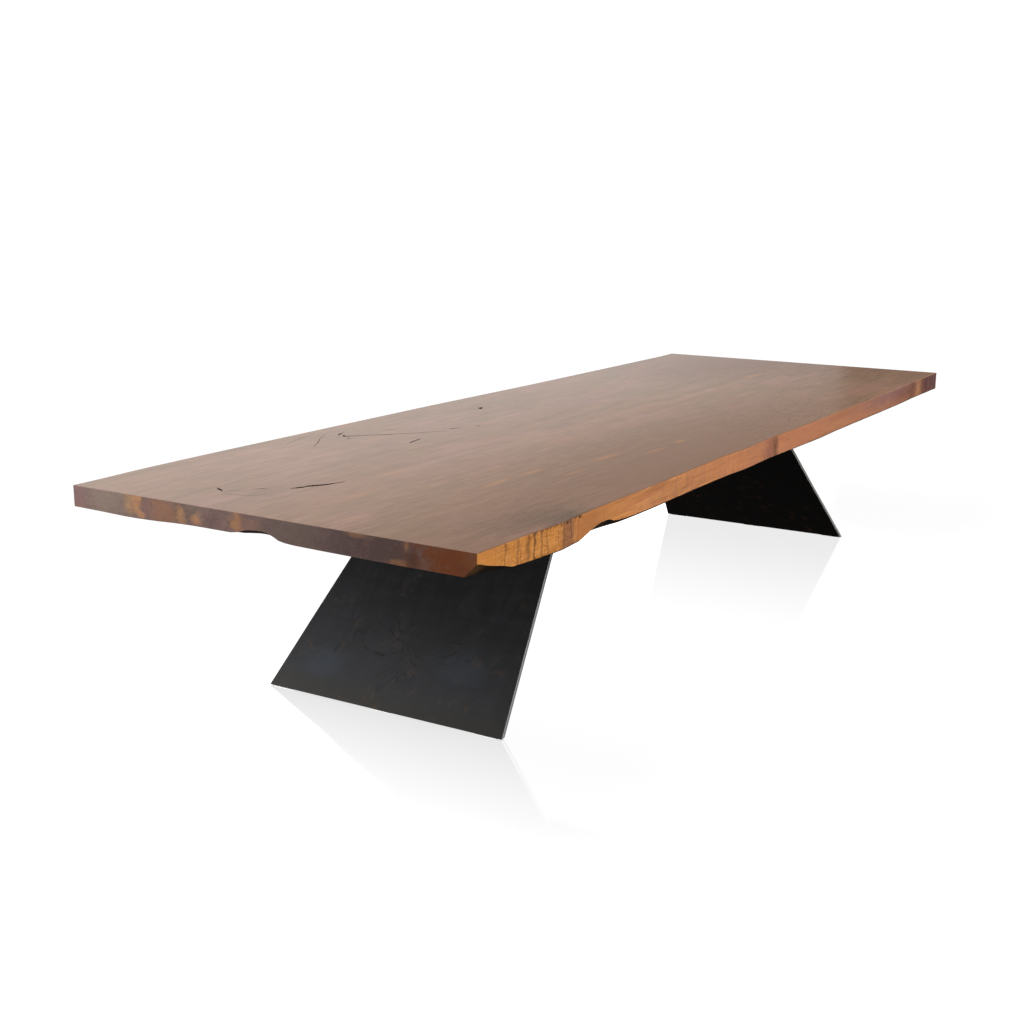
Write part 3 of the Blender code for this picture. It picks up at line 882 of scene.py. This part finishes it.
# (y and z, reach along y and z, colour, amount)
END_ROWS = (
    ((0.71, 0.72), (0.075, 0.08), PURPLE, 0.65),
    ((0.57, 0.725), (0.11, 0.08), (0.185, 0.135, 0.102), 0.75),
    ((0.48, 0.728), (0.03, 0.045), GOLD, 0.35),
    ((0.446, 0.743), (0.024, 0.012), END_ORANGE, 0.95),
    ((0.448, 0.722), (0.022, 0.026), END_ORANGE, 0.75),
    ((0.43, 0.696), (0.026, 0.014), END_ORANGE, 0.8),
    ((0.41, 0.715), (0.014, 0.045), PURPLE, 0.75),
    ((0.335, 0.712), (0.09, 0.05), (0.235, 0.105, 0.055), 0.75),
    ((0.272, 0.712), (0.022, 0.03), GOLD, 0.45),
    ((0.212, 0.708), (0.022, 0.02), END_ORANGE, 0.85),
    ((0.13, 0.715), (0.05, 0.04), PURPLE, 0.4),
    ((0.061, 0.742), (0.011, 0.02), END_ORANGE, 0.6),
    ((0.06, 0.718), (0.03, 0.028), END_ORANGE, 0.8),
    ((0.01, 0.722), (0.045, 0.024), (0.24, 0.12, 0.08), 0.6),
    ((-0.155, 0.725), (0.14, 0.07), (0.125, 0.088, 0.07), 0.7),
    ((-0.31, 0.722), (0.11, 0.08), (0.098, 0.058, 0.055), 0.8),
    ((-0.45, 0.715), (0.15, 0.09), (0.084, 0.045, 0.04), 0.85),
    ((-0.365, 0.746), (0.045, 0.01), END_ORANGE, 0.5),
    ((-0.525, 0.738), (0.01, 0.02), END_ORANGE, 0.6),
    ((-0.51, 0.688), (0.06, 0.014), END_ORANGE, 0.55),
    ((-0.545, 0.7), (0.03, 0.04), UMBER, 0.75),
    ((-0.675, 0.712), (0.16, 0.14), (0.18, 0.046, 0.011), 1.0),
    ((-0.74, 0.73), (0.06, 0.04), (0.23, 0.08, 0.022), 0.6),
)
END_PATCHES = [
    ((END_X, *middle), (END_REACH, *reach), patch, amount) for middle, reach, patch, amount in END_ROWS
]
UNDER_PATCHES = (((-2.115, -0.72, 0.69), (0.055, 0.05, 0.05), (0.26, 0.13, 0.04), 0.75),)

# Dark streaks across the grain at the front edge's burl: (x, half width, amount)
STREAKS = (
    (-1.986, 0.004, 0.55), (-1.926, 0.006, 0.45), (-1.874, 0.011, 0.5), (-1.846, 0.008, 0.75),
    (-1.812, 0.006, 0.5), (-1.783, 0.004, 0.45), (-1.7, 0.006, 0.4), (-1.652, 0.005, 0.35),
)
BURL = (-1.84, 0.24)  # the burl's middle and half of its length
NOTCH_SHADE_X = (-1.86, -1.6)  # where painted shade stands in for notches along the edge's top
# How far down the edge the painted notch shade reaches
NOTCH_SHADE_DEPTH = 0.013


def growth(s):
    """A number that is constant along each growth ring: across the log, warped, pushed round the knots."""
    _, y, z = s.split(s.place)
    drift = s.noise(s.stretched((0.55, 1.1, 1.1)), detail=2.0)
    value = s.times_plus(drift, 0.55, y)
    value = s.times_plus(z, 0.9, value)
    waver = s.noise(s.stretched((2.4, 7.0, 7.0)), detail=2.0)
    value = s.times_plus(waver, 0.06, value)
    for knot_x, knot_y, reach_x, reach_y, push in KNOTS:
        distance = s.distance((knot_x, knot_y, TABLE_HEIGHT), (reach_x, reach_y, KNOT_REACH_DOWN))
        value = s.times_plus(s.range(distance, 0.0, 1.6, 1.0, 0.0), push, value)
    return value


def wood_grain(s, contrast):
    """(growth rings, fibre streaks, open pores), each from 0 to 1, in the slab's solid grain."""
    value = growth(s)
    fine = s.noise(s.times(value, RINGS[0]), detail=3.0, roughness=0.62, bands=True)
    wide = s.noise(s.times(value, RINGS[1]), detail=1.0, bands=True)
    rings = s.times_plus(wide, 0.45, s.times(fine, 0.55))
    patchy = s.noise(s.stretched((2.6, 7.0, 7.0)), detail=3.0)
    strength = s.range(patchy, 0.38, 0.66, 0.1 * contrast, contrast)
    rings = s.times_plus(s.minus(rings, 0.5), strength, 0.5)
    fibres = s.noise(s.stretched(FIBRE_SCALE), detail=3.0, roughness=0.6, distortion=0.4)
    pores = s.range(s.noise(s.stretched(PORE_SCALE), detail=1.0), 0.62, 0.74)
    return rings, fibres, pores


def wood_color(s, palette, casts, shifts, patches, fray, contrast=1.0):
    """A wood's colour: ringed, then drifting casts, streaks, local patches, fibres and pores."""
    rings, fibres, pores = wood_grain(s, contrast)
    dark, middle, light = palette
    color = s.ramp(rings, [(0.3, dark), (0.5, middle), (0.7, light)])
    for number, (cast, scale, low, high, amount) in enumerate(casts):
        place = s.vector("ADD", s.stretched(scale), (number * 7.3, number * 3.1, 0.0))
        drift = s.noise(place, detail=4.0, roughness=0.6, distortion=0.6)
        color = s.mix(s.range(drift, low, high, 0.0, amount), color, cast)
    for scale, amount in shifts:
        shade = s.noise(s.stretched(scale), detail=4.0, roughness=0.6, distortion=0.4)
        color = s.lighten(color, shade, amount)
    for centre, reach, patch, amount in patches:
        mask = s.times(s.blob(centre, reach, fray), amount)
        color = s.mix(mask, color, patch)
    color = s.lighten(color, fibres, 0.08)
    color = s.mix(s.times(pores, 0.35), color, PORE_BROWN)
    return color, rings, fibres, pores


def top_wood():
    s = Shading("slab_flat_wood")
    color, rings, fibres, pores = wood_color(
        s, TOP_PALETTE, TOP_CASTS, TOP_SHIFTS, TOP_PATCHES, TOP_FRAY, contrast=0.6
    )
    roughness = s.range(fibres, 0.25, 0.75, 0.245, 0.262, smooth=False)
    height = s.minus(s.times(fibres, 0.35), s.times(pores, 0.6))
    height = s.times_plus(rings, 0.5, height)
    return s.finish(color, roughness, s.bump(height, 0.005, 0.0006), Specular_IOR_Level=0.1)


def burl_streaks(s, color):
    """The burl's dark streaks down the edge, its fine wavy cross lines and painted shade for notches along
    its top.
    """
    x, y, z = s.split(s.place)
    near = s.range(s.math("ABSOLUTE", s.minus(x, BURL[0])), 0.6 * BURL[1], BURL[1], 1.0, 0.0)
    waver = s.noise(s.stretched((24.0, 24.0, 30.0)), detail=5.0, roughness=0.6)
    bent_x = s.times_plus(s.minus(waver, 0.5), 0.034, x)
    breaks = s.noise(s.stretched((90.0, 90.0, 28.0)), detail=4.0, roughness=0.7)
    for middle, half, amount in STREAKS:
        away = s.math("DIVIDE", s.math("ABSOLUTE", s.minus(bent_x, middle)), half)
        away = s.times_plus(s.minus(breaks, 0.5), 3.4, away)
        color = s.mix(s.times(s.range(away, 0.3, 1.2, 1.0, 0.0), amount), color, UMBER)
    hair = s.noise(s.join(s.times(x, 260.0), y, s.times(z, 12.0)), detail=3.0)
    hairs = s.times(s.range(hair, 0.56, 0.7), s.times(near, 0.5))
    color = s.mix(hairs, color, MAROON)
    rise = s.times_plus(waver, 9.0, s.times(z, 240.0))
    across = s.join(s.times(bent_x, 22.0), y, rise)
    lines = s.noise(across, detail=3.0, distortion=1.2)
    dark = s.times(s.range(lines, 0.5, 0.36), s.times(near, 0.45))
    color = s.mix(dark, color, RUST)
    pale = s.times(s.range(lines, 0.52, 0.66), s.times(near, 0.3))
    color = s.mix(pale, color, PALE_GOLD)
    # Painted shade: ragged dark teeth along the edge's top, for notches that the mesh does not have
    teeth = s.noise(s.stretched((120.0, 40.0, 40.0)), detail=3.0, roughness=0.7)
    starts = s.range(x, NOTCH_SHADE_X[0] - 0.02, NOTCH_SHADE_X[0])
    in_reach = s.times(starts, s.range(x, NOTCH_SHADE_X[1], NOTCH_SHADE_X[1] + 0.03, 1.0, 0.0))
    drop = s.times_plus(s.range(teeth, 0.44, 0.62), -NOTCH_SHADE_DEPTH, TABLE_HEIGHT)
    notch_shade = s.times(s.range(s.minus(z, drop), 0.0, 0.002), in_reach)
    return s.mix(s.times(notch_shade, 0.8), color, UMBER)


def live_edge_wood():
    s = Shading("slab_live_edge_wood")
    color, rings, fibres, _ = wood_color(
        s, EDGE_PALETTE, EDGE_CASTS, EDGE_SHIFTS, EDGE_PATCHES, EDGE_FRAY, contrast=1.5
    )
    color = burl_streaks(s, color)
    roughness = s.range(fibres, 0.25, 0.75, 0.55, 0.68, smooth=False)
    height = s.times_plus(rings, 0.8, s.times(fibres, 0.5))
    return s.finish(color, roughness, s.bump(height, 0.35, 0.001), Specular_IOR_Level=0.2)


def sawn_end_wood():
    s = Shading("slab_sawn_end_wood")
    color, rings, _, _ = wood_color(
        s, END_PALETTE, END_CASTS, END_SHIFTS, END_PATCHES, END_FRAY, contrast=0.8
    )
    x, y, z = s.split(s.place)
    saw = s.noise(s.join(x, s.times(y, 420.0), s.times(z, 30.0)), detail=2.0)
    roughness = s.range(saw, 0.3, 0.7, 0.46, 0.6, smooth=False)
    height = s.times_plus(saw, 0.5, s.times(rings, 0.6))
    return s.finish(color, roughness, s.bump(height, 0.25, 0.0008), Specular_IOR_Level=0.15)


def under_edge_shaded_wood():
    """The rough wood where a live edge turns under, painted near-black as painted shade over a bark-like
    relief.
    """
    s = Shading("slab_under_edge_shaded_wood")
    color, rings, _, _ = wood_color(s, UNDER_EDGE_SHADE_PALETTE, UNDER_CASTS, END_SHIFTS, UNDER_PATCHES, END_FRAY)
    bark = s.noise(s.stretched((40.0, 90.0, 90.0)), detail=5.0, roughness=0.7)
    return s.finish(color, 0.85, s.bump(s.math("ADD", bark, rings), 0.6, 0.002))


def crack_shade_wood():
    s = Shading("crack_shade_wood")
    grain = s.noise(s.stretched((60.0, 60.0, 300.0)), detail=3.0)
    # Near-black: painted shade on the walls of the cracks and the insert pockets
    color = s.ramp(grain, [(0.3, (0.01, 0.006, 0.004)), (0.7, (0.04, 0.022, 0.014))])
    return s.finish(color, 0.9, s.bump(grain, 0.6, 0.0015))


SCALE_BLACKS = ((0.0048, 0.0048, 0.0052), (0.0092, 0.0095, 0.0106), (0.0165, 0.0172, 0.019))
# The grey of the painted light low down on the leg plates
PAINTED_LOW_LIGHT_GREY = (0.037, 0.037, 0.039)
STEEL_BLUE = (0.03, 0.037, 0.048)
FOOT_BROWN = (0.026, 0.023, 0.018)
CONTOUR_BLACK = (0.004, 0.003, 0.003)
# Painted shade on the faces that look down
SHADE_WARM_BLACK = (0.0085, 0.0052, 0.0038)
PLATE_RUST = (0.1, 0.038, 0.015)
THIN_RUST = (0.08, 0.045, 0.022)
# Across a plate's side edge: (share of the way from the outer face to the inner one, colour); the two bright
# ones at the outer arris are a painted highlight
SIDE_STRIPES_AND_HIGHLIGHT = (
    (0.1, (0.4, 0.41, 0.42)), (0.34, (0.37, 0.38, 0.39)), (0.48, (0.09, 0.095, 0.1)),
    (0.66, (0.21, 0.22, 0.22)), (0.95, (0.31, 0.32, 0.3)),
)
# Where the scale is bluer on the left leg's outer face: (centre, reach)
STEEL_BLUES = (((-1.4, -0.22, 0.145), (0.2, 0.12, 0.05)), ((-1.46, 0.29, 0.085), (0.2, 0.1, 0.06)))


def steel_side_edge(s, x, z):
    """The ground side edge of a leg plate: a painted highlight at its outer arris, a dark line, then greyer.
    """
    plate = leg_plane("left")
    leaned = s.times_plus(z, plate["slope"], s.math("ABSOLUTE", x))
    inwards = s.minus(plate["foot"], leaned)
    stripes_and_highlight = s.ramp(s.math("DIVIDE", inwards, plate["run"]), SIDE_STRIPES_AND_HIGHLIGHT)
    lines = s.noise(s.join(s.times(x, 40.0), x, s.times(z, 700.0)), detail=2.0)
    return s.lighten(stripes_and_highlight, lines, 0.15)


def scale_color(s, cloud, z):
    """The scale's colour and tone: blue-black, paler low down as painted light (the upper part stays darker
    as painted shade under the slab), bluer in places, brown at the foot.
    """
    upright = s.noise(s.stretched((9.0, 26.0, 3.5)), detail=5.0, roughness=0.65)
    level = s.noise(s.stretched((4.0, 4.0, 48.0)), detail=4.0, roughness=0.6)
    tone = s.math("ADD", s.times(cloud, 0.4), s.times(upright, 0.35))
    tone = s.times_plus(level, 0.25, tone)
    color = s.ramp(tone, list(zip((0.36, 0.5, 0.64), SCALE_BLACKS)))
    # Painted light: the scale pales towards the floor, and the part under the slab stays darker as painted
    # shade.
    painted_low_light = s.range(s.times_plus(cloud, 0.16, z), 0.1, 0.48, 1.0, 0.0)
    color = s.mix(s.times(painted_low_light, 0.54), color, PAINTED_LOW_LIGHT_GREY)
    for centre, reach in STEEL_BLUES:
        blue = s.times(s.blob(centre, reach, (5.0, 12.0, 30.0)), 0.42)
        color = s.mix(blue, color, STEEL_BLUE)
    foot = s.range(s.times_plus(level, 0.05, z), 0.03, 0.1, 1.0, 0.0)
    return s.mix(s.times(foot, 0.65), color, FOOT_BROWN), tone


def contour_lines(s, cloud):
    """Faint broken rings in the scale, around the middle of the left leg's outer face."""
    swirl = s.noise(s.stretched((3.0, 4.0, 2.4)), detail=2.0, distortion=0.7)
    contour = s.math("FRACT", s.times(swirl, 12.0))
    line = s.range(s.math("ABSOLUTE", s.minus(contour, 0.5)), 0.0, 0.12, 1.0, 0.0)
    middle = s.blob((-1.38, 0.04, 0.17), (0.4, 0.3, 0.17), (4.0, 6.0, 6.0))
    return s.times(line, s.times(s.range(cloud, 0.44, 0.58), middle))


def blackened_steel():
    """Hot-rolled plate: blue-black scale, a warm near-black of painted shade with rust where it faces down,
    with ground side edges.
    """
    s = Shading("blackened_steel_plate")
    x, _, z = s.split(s.place)
    cloud = s.noise(s.place, scale=6.0, detail=6.0, roughness=0.62, distortion=0.5)
    color, tone = scale_color(s, cloud, z)
    color = s.mix(s.times(contour_lines(s, cloud), 0.8), color, CONTOUR_BLACK)
    rust_spots = s.noise(s.place, scale=22.0, detail=5.0, roughness=0.7)
    rust = s.times(s.range(rust_spots, 0.52, 0.68), s.range(cloud, 0.46, 0.62))
    _, normal_y, normal_z = s.split(s.add("ShaderNodeNewGeometry").outputs["Normal"])
    # Painted shade: faces that look down turn a warm near-black, with rust spots.
    facing_down_shade = s.range(normal_z, -0.1, -0.02, 1.0, 0.0)
    shade_and_rust = s.mix(s.times(rust, 0.85), SHADE_WARM_BLACK, PLATE_RUST)
    color = s.mix(s.times(rust, 0.25), color, THIN_RUST)
    color = s.mix(facing_down_shade, color, shade_and_rust)
    ground = s.range(s.math("ABSOLUTE", normal_y), 0.6, 0.8)
    color = s.mix(ground, color, steel_side_edge(s, x, z))
    roughness = s.times_plus(tone, 0.3, 0.34)
    normal = s.bump(s.times_plus(tone, 0.6, s.times(rust, 0.8)), 0.15, 0.001)
    s.feed(s.shader.inputs["Metallic"], s.range(ground, 0.0, 1.0, 0.8, 0.1))
    return s.finish(color, roughness, normal)


def speckled(name, scale, stops, roughness, bump, detail=2.0, **constants):
    """A material whose colour, roughness and fine relief all follow one noise."""
    s = Shading(name)
    speckle = s.noise(s.stretched(scale), detail=detail)
    color = s.ramp(speckle, stops)
    return s.finish(color, s.range(speckle, 0.3, 0.7, *roughness), s.bump(speckle, *bump), **constants)


def weld_steel():
    heat_tints = [(0.3, (0.03, 0.028, 0.032)), (0.5, (0.07, 0.062, 0.06)), (0.7, (0.12, 0.11, 0.11))]
    return speckled("weld_steel", (60.0,) * 3, heat_tints, (0.38, 0.6), (0.2, 0.0004), 3.0, Metallic=0.9)


def zinc_steel():
    spangle = [(0.3, (0.5, 0.51, 0.5)), (0.7, (0.68, 0.69, 0.7))]
    return speckled("zinc_plate", (420.0,) * 3, spangle, (0.26, 0.42), (0.1, 0.0002), Metallic=1.0)


def insert_brass():
    turned_rings = (60.0, 60.0, 2600.0)
    brass = [(0.3, (0.62, 0.44, 0.19)), (0.7, (0.8, 0.62, 0.33))]
    return speckled("insert_brass_metal", turned_rings, brass, (0.25, 0.42), (0.3, 0.0003), Metallic=1.0)


def pad_nylon():
    cloudy = [(0.3, (0.7, 0.7, 0.67)), (0.7, (0.84, 0.84, 0.82))]
    return speckled("pad_nylon", (90.0,) * 3, cloudy, (0.42, 0.58), (0.2, 0.0003), 3.0)


def dress_nodes(steel, brass, nylon):
    """Finished materials on the CAD nodes that stay."""
    for name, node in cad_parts.items():
        if "plate" in name or "gusset" in name:
            material = steel
        elif "insert" in name:
            material = brass
        elif "pad" in name:
            material = nylon
        else:
            continue
        node.data.materials.clear()
        node.data.materials.append(material)


# ---- stage


def make_camera():
    data = bpy.data.cameras.new("camera")
    data.lens = CAMERA_LENS
    data.sensor_width = SENSOR_WIDTH
    camera = bpy.data.objects.new("camera", data)
    bpy.context.scene.collection.objects.link(camera)
    heading = Matrix.Rotation(CAMERA_HEADING - math.pi / 2, 4, "Z")
    pitch = Matrix.Rotation(math.pi / 2 - CAMERA_PITCH, 4, "X")
    roll = Matrix.Rotation(CAMERA_ROLL, 4, "Z")
    camera.matrix_world = Matrix.Translation(CAMERA_PLACE) @ heading @ pitch @ roll
    bpy.context.scene.camera = camera


def softbox(name, place, aim, size, power, color, mirrored=True):
    """A soft rectangular light that no surface shows as a bright patch unless it is mirrored."""
    data = bpy.data.lights.new(name, "AREA")
    data.shape = "RECTANGLE"
    data.size, data.size_y = size
    data.energy = power
    data.color = color
    light = bpy.data.objects.new(name, data)
    light.location = place
    light.rotation_euler = (Vector(aim) - Vector(place)).to_track_quat("-Z", "Y").to_euler()
    light.visible_camera = False
    light.visible_glossy = mirrored
    bpy.context.scene.collection.objects.link(light)


def make_lights():
    softbox("key", (0.8, -4.6, 2.9), (0, -0.3, 0.7), (4.5, 2.4), 300.0, (1.0, 0.965, 0.92), mirrored=False)
    softbox("back_scrim", (4.3, 3.1, 1.27), (4.3, 0.0, 1.27), (15.4, 1.5), 76.0, (1.0, 0.995, 0.985))
    softbox("overhead", (0.0, 0.0, 4.6), (0, 0, 0.7), (5.0, 3.0), 90.0, (1.0, 0.99, 0.98))
    softbox("end_fill", (-3.7, 2.1, 1.25), (-2.0, 0.3, 0.55), (1.6, 1.3), 92.0, (0.97, 0.98, 1.0))


def make_world():
    """White to look at, and as a light a gentler grey that is darker low down."""
    world = bpy.data.worlds.new("studio")
    world.use_nodes = True
    tree = world.node_tree
    tree.nodes.clear()
    add = tree.nodes.new
    coords = add("ShaderNodeTexCoord")
    split = add("ShaderNodeSeparateXYZ")
    rise = add("ShaderNodeMapRange")
    for socket, value in zip(rise.inputs[1:5], (*HORIZON, *ROOM_LIGHT)):
        socket.default_value = value
    fill = add("ShaderNodeBackground")
    plain = add("ShaderNodeBackground")
    plain.inputs["Color"].default_value = (1.0, 1.0, 1.0, 1.0)
    plain.inputs["Strength"].default_value = BACKDROP_WHITE
    path = add("ShaderNodeLightPath")
    choose = add("ShaderNodeMixShader")
    out = add("ShaderNodeOutputWorld")
    links = tree.links.new
    links(coords.outputs["Generated"], split.inputs[0])
    links(split.outputs["Z"], rise.inputs["Value"])
    links(rise.outputs[0], fill.inputs["Strength"])
    links(path.outputs["Is Camera Ray"], choose.inputs[0])
    links(fill.outputs[0], choose.inputs[1])
    links(plain.outputs[0], choose.inputs[2])
    links(choose.outputs[0], out.inputs["Surface"])
    bpy.context.scene.world = world


def floor_material():
    """White, with a mirror that is strongest along the feet and fades away from them; it takes no shadow."""
    s = Shading("pale_floor")
    x, y, _ = s.split(s.place)
    beside = s.range(s.math("ABSOLUTE", y), *MIRROR_SIDES, 1.0, 0.0)
    mirror = dim = 0.0
    for name, side in SIDES:
        foot = side * leg_plane(name)["foot"]
        away = s.math("ABSOLUTE", s.minus(x, foot))
        here = s.range(away, 0.0, MIRROR_REACH[name], MIRROR[name], 0.0, smooth=side > 0)
        here = s.times(here, beside)
        mirror = s.math("MAXIMUM", mirror, here)
        dim = s.math("MAXIMUM", dim, s.times(here, MIRRORED_ROOM[name]))
    glow = s.math("DIVIDE", s.minus(FLOOR_WHITE, dim), s.minus(1.0, mirror))
    light = s.add("ShaderNodeEmission")
    s.feed(light.inputs["Strength"], glow)
    gloss = s.add("ShaderNodeBsdfGlossy")
    gloss.inputs["Roughness"].default_value = MIRROR_ROUGHNESS
    blend = s.fed("ShaderNodeMixShader", mirror, light.outputs[0], gloss.outputs[0])[0]
    s.feed(s.tree.nodes["Material Output"].inputs["Surface"], blend)
    s.tree.nodes.remove(s.shader)
    return s.material


def make_floor():
    """A wide white floor, which lights nothing above it."""
    bm = bmesh.new()
    bmesh.ops.create_grid(bm, x_segments=1, y_segments=1, size=40.0)
    floor = new_object("studio_floor", mesh_of("studio_floor", bm), [floor_material()])
    floor.visible_diffuse = False
    floor.visible_glossy = False


def main():
    bpy.context.scene.view_settings.view_transform = "Standard"
    make_camera()
    make_world()
    make_floor()
    make_lights()
    make_slab((top_wood(), live_edge_wood(), sawn_end_wood(), under_edge_shaded_wood()), crack_shade_wood())
    steel = blackened_steel()
    dress_nodes(steel, insert_brass(), pad_nylon())
    make_welds(weld_steel())
    make_fasteners(zinc_steel())


main()
